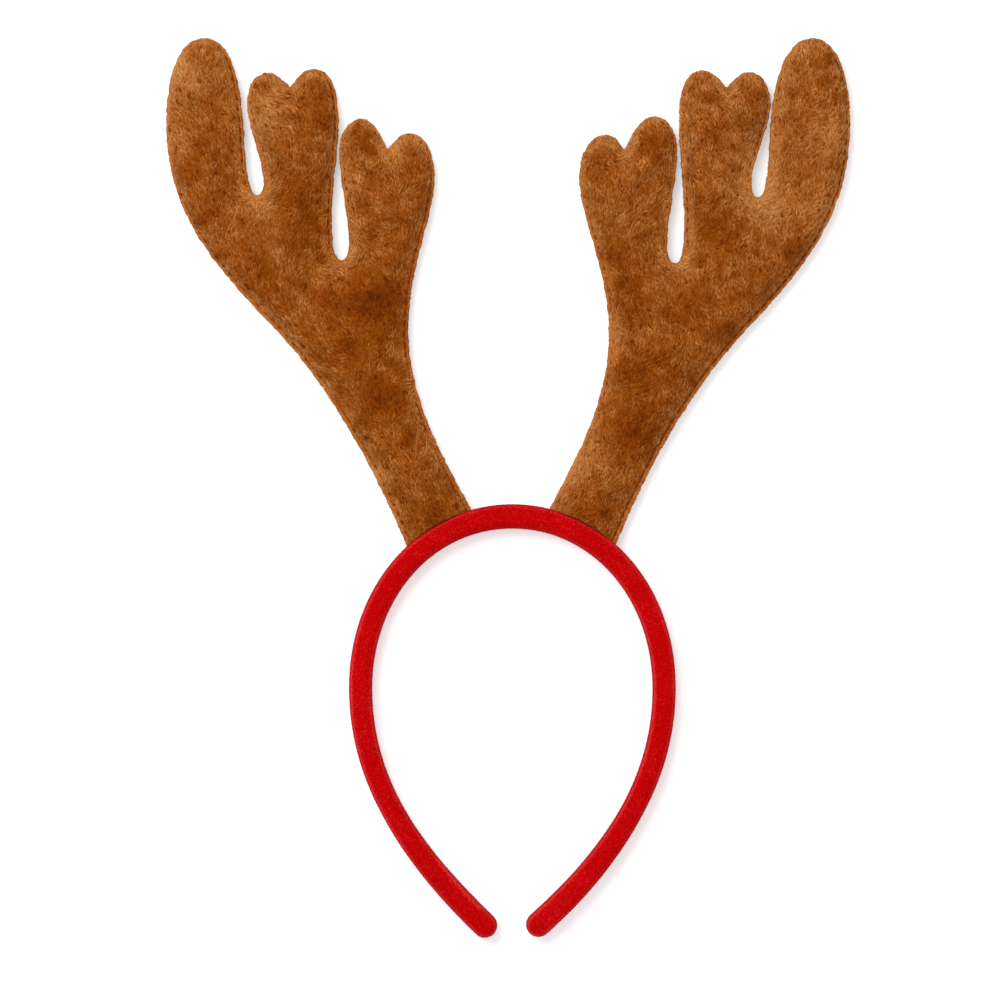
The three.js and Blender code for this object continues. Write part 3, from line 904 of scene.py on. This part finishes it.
def grow_plush(side, face, locks, seed):
    facts = panels[side, face][1]
    dice = np.random.default_rng(seed)
    pick, shares = spread_roots(facts["points"], facts["faces"], locks, dice)
    roots, normals, away, hollow, way = (
        blend_at(facts[key], facts["faces"], pick, shares)
        for key in ("points", "normals", "away", "hollow", "way")
    )
    flat, normals = roots[:, :2], unit(normals)
    flow = turned(lay_of_pile(flat, antlers[side]["outward"], seed + 5), dice.normal(0, 0.3, locks))
    flow, fan, on_rim = combed(flow, away, way, hollow)
    length = cut_short(dice.uniform(*lock_length, locks), flat, away, way, hollow)
    stand = soft_noise(roots, 7, seed + 9)
    lift = np.radians((22 + 9 * stand + dice.normal(0, 7, locks)).clip(5, 50)) * (1 - 0.5 * on_rim)
    if face == "back":
        lift *= ((roots[:, 2] - press_gap) / 3).clip(0.12, 1)
    length = kept_in(length, flow, lift, away, way)
    tone = plush_tone(side, face, flat, away, way, hollow) + mottled_tone(flat, seed) + 0.1 * fan
    tone += 0.115 * uneven_tone(dice, locks)
    lock = np.repeat(np.arange(locks), fibres_per_lock)
    count = len(lock)
    spread = across_cloth(dice.normal(0, fibre_spread, (count, 3)), normals[lock])
    piece = grow_blades(
        f"{side}_antler_{face}_pile",
        roots[lock],
        spread,
        normals[lock],
        lay=np.column_stack([flow, np.zeros(locks)])[lock],
        length=length[lock] * dice.uniform(0.8, 1.15, count),
        lift=lift[lock] + dice.normal(0, 0.06, count),
        width=dice.uniform(*fibre_width, count),
        dice=dice,
        drop=math.radians(26),
        gather=0.45,
        lowest=0.06,
    )
    tone = tone[lock] + 0.134 * uneven_tone(dice, count)
    keep_tone(piece, np.repeat(tone, 4), np.tile(blade_along, count))
    print(piece.name, count, "fibres,", length.mean().round(2), "mm long on average")
    return piece


locks_on = {"front": 24000, "back": 15000}
piles = {}
for number, (side, face) in enumerate(panels):
    piles[side, face] = grow_plush(side, face, locks_on[face], seed=100 + 40 * number)

# %% Give the ground under the pile the same tones
for (side, face), (panel, facts) in panels.items():
    tone = plush_tone(side, face, facts["points"][:, :2], facts["away"], facts["way"], facts["hollow"])
    keep_tone(panel, np.concatenate([tone, tone[: len(panel.data.vertices) - len(tone)]]))

# %% [markdown]
# ## Topstitches
# One line of brown thread runs round each antler just inside the edge and holds both panels
# together. Every stitch comes up, lies in the groove for about three millimetres and goes down
# again. A short bent tube for each one, all in one mesh, keeps the gaps between them. Where the pile
# lies over the stitches, they are thinner and sit deeper.

# %% Sew the stitches
thread_radius = 0.3
thread_sides = 6
stitch_steps = np.linspace(-0.5, 0.5, 7)  # places along one stitch, from its middle


def one_stitch(spine, side_way, rise, radius):
    """A bent tube round the spine, as rings of points."""
    turn = np.arange(thread_sides) * 2 * np.pi / thread_sides
    sideways, upwards = radius[:, None] * np.cos(turn), radius[:, None] * np.sin(turn)
    flat = spine[:, None] + side_way[:, None] * sideways[..., None]
    return np.concatenate([flat, (rise[:, None] + upwards)[..., None]], axis=-1).reshape(-1, 3)


def sew(side, face):
    sewn = scalloped(edges_of[side]["sewn"])
    place, inward, hollow = edge_facts(sewn)
    line = sewn + inward * stitch_line(sewn)[:, None]
    top = seam_level + rim_half - groove_depth * 0.75
    tubes = []
    dice = np.random.default_rng(51)
    from_middle = np.abs(stitch_steps) * 2
    for middle in np.arange(stitch_pitch, place[-1] - 2, stitch_pitch):
        if np.interp(middle, place, hollow) > 0.25:
            continue
        at = middle + dice.normal(0, 0.15) + stitch_steps * stitch_length * dice.uniform(0.8, 1.08)
        spine = np.column_stack([np.interp(at, place, line[:, k]) for k in (0, 1)])
        if not 0.6 * stitch_length < np.linalg.norm(spine[-1] - spine[0]) < 1.5 * stitch_length:
            continue
        side_way = left_of(unit(np.gradient(spine, axis=0)))
        shows = stitch_shows(spine[3:4], -side_way[3:4])[0]
        spine = spine + side_way[3] * dice.normal(0, 0.09)
        rise = top + 0.34 * shows - 0.12 - 0.62 * from_middle**3
        radius = thread_radius * (0.8 + 0.2 * shows) * (1 - 0.35 * from_middle**4)
        tubes.append(one_stitch(spine, side_way, rise, radius))
    points = np.vstack(tubes)
    numbers = np.arange(len(points)).reshape(len(tubes), len(stitch_steps), thread_sides)
    faces = np.vstack([join_rings(rings) for rings in numbers])
    if face == "back":
        points[:, 2] = 2 * seam_level - points[:, 2]
        faces = faces[:, ::-1]
    piece = make_piece(f"{side}_antler_{face}_topstitches", points, faces)
    print(piece.name, len(tubes), "stitches")
    return piece


stitches = {key: sew(*key) for key in panels}

# %% [markdown]
# ## The velvet's nap
# Velvet has a dense upright nap less than a millimetre high. It catches the light along the
# edges, where the cover turns away, and gives the band its soft outline. Single triangles are enough
# for fibres that small. A painted sheen makes the velvet lighter over the cover's upper corners, and
# painted light and shade of small folds lie in a few gathers inside the left leg's edge, above its tip.

# %% Where the velvet looks lighter
velvet_base = 0.42
gathers = np.array([(-27.8, -148.9), (-21.8, -156.6), (-16.1, -162.9), (-11.1, -167.9)])
tips_level = -181  # how far down the picture the band's two tips are


def painted_fold_light(spots):
    """Painted light and shade of small slanting folds on both sides of the line of gathers."""
    away, along, way = from_edge(spots, gathers)
    folds = np.sin(2 * np.pi * (along / 2.6 + away * np.sign(way[:, 0]) / 2.4))
    return (0.24 + 0.2 * folds) * fade(away, 0.8)


def painted_corner_sheen(spots, normals):
    """How much lighter the velvet is painted where it turns over its upper corners, a painted sheen: most
    on the two legs and round their tips, and more on corners that face up the picture and to its left,
    towards the key light. The painted light and shade of small folds at the gathers is added."""
    corner = fade(normals[:, 2] - 0.58, 0.18)
    flat = normals[:, :2] / np.maximum(np.hypot(normals[:, 0], normals[:, 1]), 1e-6)[:, None]
    share = 0.32 + 0.48 * np.abs(flat[:, 0]) - 0.19 * flat[:, 0] + 0.18 * flat[:, 1]
    at_tip = fade(spots[:, 1] - tips_level, 8)
    # a painted sheen over the upper corners
    painted_sheen = 0.42 * corner * (share + (0.9 - share) * at_tip)
    return painted_sheen + painted_fold_light(spots[:, :2]) * normals[:, 2].clip(0, 1)


# %% Grow the nap
nap_count = 90000
cover_triangles = np.vstack([cover_quads[:, [0, 1, 2]], cover_quads[:, [0, 2, 3]]])
cover_normals = corner_normals(cover_points, cover_triangles)


def grow_nap(count, seed):
    dice = np.random.default_rng(seed)
    pick, shares = spread_roots(cover_points, cover_triangles, count, dice)
    roots = blend_at(cover_points, cover_triangles, pick, shares)
    ups = unit(blend_at(cover_normals, cover_triangles, pick, shares))
    strays = dice.normal(0, 0.8, (count, 3))
    brushed = np.column_stack([soft_noise(roots, 14, seed + k) for k in (1, 2, 3)]) * 0.6
    way = unit(ups + across_cloth(strays + brushed, ups))
    length = dice.uniform(0.3, 0.6, count) * np.interp(np.abs(ups[:, 2]), [0.3, 0.8], [0.5, 1])
    sideways = unit(np.cross(way, dice.normal(size=(count, 3))))
    across = sideways * dice.uniform(0.06, 0.12, count)[:, None]
    points = np.stack([roots - across, roots + across, roots + way * length[:, None]], axis=1)
    points[:, :, 2] = np.maximum(points[:, :, 2], 0.03)
    piece = make_piece("velvet_nap", points.reshape(-1, 3), np.arange(count * 3).reshape(-1, 3))
    tone = velvet_base + painted_corner_sheen(roots, ups) + dice.normal(0, 0.17, count)
    tone += 0.08 * soft_noise(roots, 10, seed + 6)
    keep_tone(piece, np.repeat(tone, 3), np.tile([0, 0, 1], count))
    print(piece.name, count, "fibres")
    return piece


nap = grow_nap(nap_count, 7)

# %% Give the cover under the nap the same tones
ring_normals = corner_normals(cover_points, cover_quads[:, :3])
cover_tone = velvet_base + painted_corner_sheen(cover_points, ring_normals)
keep_tone(cover, cover_tone)
print("velvet tones from", cover_tone.min().round(2), "to", cover_tone.max().round(2))

# %% [markdown]
# ## Colour of cloth
# Both cloths show the same thing in their own colours: where the pile leans away it looks deep,
# where it leans to the light it shines, with patches of a few centimetres and flecks of less than a
# millimetre. That is one node group with its own colours and sizes in each material. The tone that
# was kept on every corner goes into it as its lay. The shader stays in the material.

# %% A node group for the tone of a pile
def make_tone_group():
    group = bpy.data.node_groups.new("pile_tone", "ShaderNodeTree")
    for name, kind, value in (
        ("Deep", "NodeSocketColor", (0.1, 0.1, 0.1, 1)),
        ("Body", "NodeSocketColor", (0.3, 0.3, 0.3, 1)),
        ("Shine", "NodeSocketColor", (0.6, 0.6, 0.6, 1)),
        ("Lay", "NodeSocketFloat", 0.5),
        ("Patches per metre", "NodeSocketFloat", 50.0),
        ("Patch strength", "NodeSocketFloat", 0.5),
        ("Flecks per metre", "NodeSocketFloat", 1500.0),
        ("Fleck strength", "NodeSocketFloat", 0.3),
    ):
        socket = group.interface.new_socket(name, in_out="INPUT", socket_type=kind)
        socket.default_value = value
    group.interface.new_socket("Colour", in_out="OUTPUT", socket_type="NodeSocketColor")
    group.interface.new_socket("Height", in_out="OUTPUT", socket_type="NodeSocketFloat")
    nodes, links = group.nodes, group.links
    inside, outside = nodes.new("NodeGroupInput"), nodes.new("NodeGroupOutput")
    place = nodes.new("ShaderNodeTexCoord")

    def noise(scale, detail):
        node = nodes.new("ShaderNodeTexNoise")
        node.inputs["Detail"].default_value = detail
        node.inputs["Roughness"].default_value = 0.6
        links.new(place.outputs["Object"], node.inputs["Vector"])
        links.new(inside.outputs[scale], node.inputs["Scale"])
        return node.outputs["Fac"]

    def math_node(kind, a, b, clamp=False):
        node = nodes.new("ShaderNodeMath")
        node.operation, node.use_clamp = kind, clamp
        for socket, value in zip(node.inputs, (a, b)):
            if isinstance(value, (int, float)):
                socket.default_value = value
            else:
                links.new(value, socket)
        return node.outputs[0]

    def mix(factor, a, b):
        node = nodes.new("ShaderNodeMix")
        node.data_type = "RGBA"
        links.new(factor, node.inputs["Factor"])
        links.new(a, node.inputs["A"])
        links.new(b, node.inputs["B"])
        return node.outputs["Result"]

    patches, flecks = noise("Patches per metre", 3), noise("Flecks per metre", 2)
    patch = math_node("MULTIPLY", math_node("SUBTRACT", patches, 0.5), inside.outputs["Patch strength"])
    fleck = math_node("MULTIPLY", math_node("SUBTRACT", flecks, 0.5), inside.outputs["Fleck strength"])
    tone = math_node("ADD", math_node("ADD", inside.outputs["Lay"], patch), fleck)
    lower = math_node("MULTIPLY", tone, 2.0, clamp=True)
    upper = math_node("MULTIPLY", math_node("SUBTRACT", tone, 0.5), 2.0, clamp=True)
    colour = mix(upper, mix(lower, inside.outputs["Deep"], inside.outputs["Body"]), inside.outputs["Shine"])
    links.new(colour, outside.inputs["Colour"])
    links.new(flecks, outside.inputs["Height"])
    return group


tone_group = make_tone_group()

# %% Materials made with it
def srgb(*values):
    """A colour read off a picture, 0 to 255, as the shader's linear colour."""
    share = np.array(values) / 255
    return (*np.where(share <= 0.04045, share / 12.92, ((share + 0.055) / 1.055) ** 2.4).tolist(), 1.0)


def darken_roots(nodes, links, along, colour, roots_dark):
    """The colour, darker towards the roots of the fibres, where less light gets in."""
    shade = nodes.new("ShaderNodeMapRange")
    shade.inputs["To Min"].default_value = roots_dark
    shade.inputs["To Max"].default_value = 1.0
    links.new(along, shade.inputs["Value"])
    grey = nodes.new("ShaderNodeCombineColor")
    for channel in ("Red", "Green", "Blue"):
        links.new(shade.outputs["Result"], grey.inputs[channel])
    darker = nodes.new("ShaderNodeMix")
    darker.data_type, darker.blend_type = "RGBA", "MULTIPLY"
    darker.inputs["Factor"].default_value = 1.0
    links.new(colour, darker.inputs["A"])
    links.new(grey.outputs["Color"], darker.inputs["B"])
    return darker.outputs["Result"]


def cloth_material(name, looks, patches, flecks, settings, roots_dark=None, bump=0):
    """A cloth of three colours. With roots_dark it reads the tone kept on its corners."""
    material = bpy.data.materials.new(name)
    material.use_nodes = True
    nodes, links = material.node_tree.nodes, material.node_tree.links
    shader = nodes["Principled BSDF"]
    tone = nodes.new("ShaderNodeGroup")
    tone.node_tree = tone_group
    for key, value in zip(("Deep", "Body", "Shine"), looks):
        tone.inputs[key].default_value = srgb(*value)
    tone.inputs["Patches per metre"].default_value, tone.inputs["Patch strength"].default_value = patches
    tone.inputs["Flecks per metre"].default_value, tone.inputs["Fleck strength"].default_value = flecks
    colour = tone.outputs["Colour"]
    if roots_dark is not None:
        kept = nodes.new("ShaderNodeAttribute")
        kept.attribute_name = "fibre"
        parts = nodes.new("ShaderNodeSeparateColor")
        links.new(kept.outputs["Color"], parts.inputs["Color"])
        links.new(parts.outputs["Red"], tone.inputs["Lay"])
        colour = darken_roots(nodes, links, parts.outputs["Green"], colour, roots_dark)
    links.new(colour, shader.inputs["Base Color"])
    if bump:
        relief = nodes.new("ShaderNodeBump")
        relief.inputs["Strength"].default_value = 0.6
        relief.inputs["Distance"].default_value = bump * MM
        links.new(tone.outputs["Height"], relief.inputs["Height"])
        links.new(relief.outputs["Normal"], shader.inputs["Normal"])
    for key, value in settings.items():
        shader.inputs[key].default_value = value
    print(name, "made with colours", *looks)
    return material


# %% Plush, thread and velvet
plush_looks = (100, 33, 0), (155, 77, 7), (202, 140, 79)
ground_looks = (84, 30, 1), (130, 62, 8), (174, 108, 52)
thread_looks = (62, 18, 0), (92, 37, 2), (130, 64, 12)
velvet_looks = (132, 0, 1), (172, 0, 2), (214, 56, 58)
plush_shader = {
    "Roughness": 0.8,
    "Specular IOR Level": 0.03,
    "Sheen Weight": 0.05,
    "Sheen Roughness": 0.4,
    "Sheen Tint": (1.0, 0.75, 0.5, 1),
}
thread_shader = {"Roughness": 0.8, "Specular IOR Level": 0.08}
velvet_shader = {
    "Roughness": 0.9,
    "Specular IOR Level": 0.02,
    "Sheen Weight": 0.13,
    "Sheen Roughness": 0.3,
    "Sheen Tint": (1.0, 0.35, 0.35, 1),
}
pile_material = cloth_material(
    "plush_pile", plush_looks, (45, 0.2), (700, 0.35), plush_shader, roots_dark=0.6
)
ground_material = cloth_material(
    "plush_ground", ground_looks, (45, 0.2), (1600, 0.9), plush_shader, roots_dark=0, bump=0.25
)
thread_material = cloth_material(
    "brown_thread", thread_looks, (300, 0.6), (3500, 0.6), thread_shader, bump=0.1
)
cover_material = cloth_material(
    "red_velvet", velvet_looks, (60, 0.2), (1500, 1.0), velvet_shader, roots_dark=0.8, bump=0.12
)
nap_material = cloth_material(
    "red_velvet_nap", velvet_looks, (60, 0.3), (1100, 0.5), velvet_shader, roots_dark=0.8
)

# %% [markdown]
# ## Which piece stands for which solid
# Every visible piece rides on the one body of the headband, and stands for the solid that it
# dresses. The panels and the band are stuffed.

# %% Hand the pieces over
for (side, face), (panel, _) in panels.items():
    node = f"{side}_antler_{face}"
    for piece, material in (
        (panel, ground_material),
        (piles[side, face], pile_material),
        (stitches[side, face], thread_material),
    ):
        piece.data.materials.append(material)
        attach(piece, "root")
        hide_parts(node)
for piece, material in ((cover, cover_material), (nap, nap_material)):
    piece.data.materials.append(material)
    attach(piece, "root")
    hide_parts("band")

# %% [markdown]
# ## Table, light and camera
# The picture is bright: a nearly white table, an even light all round, and one large soft lamp at the
# upper left that draws a pale shadow to the lower right. A small lamp beside the camera lights the
# table in the narrow slots and along the contact edges, where the even light hardly reaches. The
# camera looks straight down, so that the picture's upright is the headband's length.

# %% The table
table_half = 2500.0
table_corners = np.array([[-1, -1, 0], [1, -1, 0], [1, 1, 0], [-1, 1, 0]]) * table_half
table = make_piece("table", table_corners, [[0, 1, 2, 3]])
paper = bpy.data.materials.new("pale_table")
paper.use_nodes = True
paper_shader = paper.node_tree.nodes["Principled BSDF"]
paper_shader.inputs["Base Color"].default_value = (0.9, 0.9, 0.9, 1)
paper_shader.inputs["Roughness"].default_value = 1.0
paper_shader.inputs["Specular IOR Level"].default_value = 0.0
table.data.materials.append(paper)

# %% The light
world = bpy.data.worlds.new("even_light")
world.use_nodes = True
world.node_tree.nodes["Background"].inputs["Color"].default_value = (1, 1, 1, 1)
world.node_tree.nodes["Background"].inputs["Strength"].default_value = 0.565
bpy.context.scene.world = world


def lamp(name, place, size, power):
    """A round lamp of a size in metres and a power in watts that points at the headband's middle."""
    light = bpy.data.lights.new(name, "AREA")
    light.shape, light.size, light.energy = "DISK", size, power
    holder = bpy.data.objects.new(name, light)
    holder.location = place
    holder.rotation_mode = "QUATERNION"
    holder.rotation_quaternion = (Vector((0, 0, 0)) - Vector(place)).to_track_quat("-Z", "Y")
    bpy.context.scene.collection.objects.link(holder)
    print(name, "is", round(Vector(place).length, 2), "m away")


lamp("key_light", (-0.56, 0.66, 1.41), 1.05, 16.9)
lamp("overhead_light", (0, 0, 2.3), 0.08, 25.0)

# %% The camera
bpy.context.scene.view_settings.view_transform = "Standard"
camera_data = bpy.data.cameras.new("camera")
camera_data.lens, camera_data.sensor_width = 180, 36
camera = bpy.data.objects.new("camera", camera_data)
camera.location = (-0.0031, -0.00494, 2.006)  # over the middle of the picture, far off for a flat view
bpy.context.scene.collection.objects.link(camera)
bpy.context.scene.camera = camera
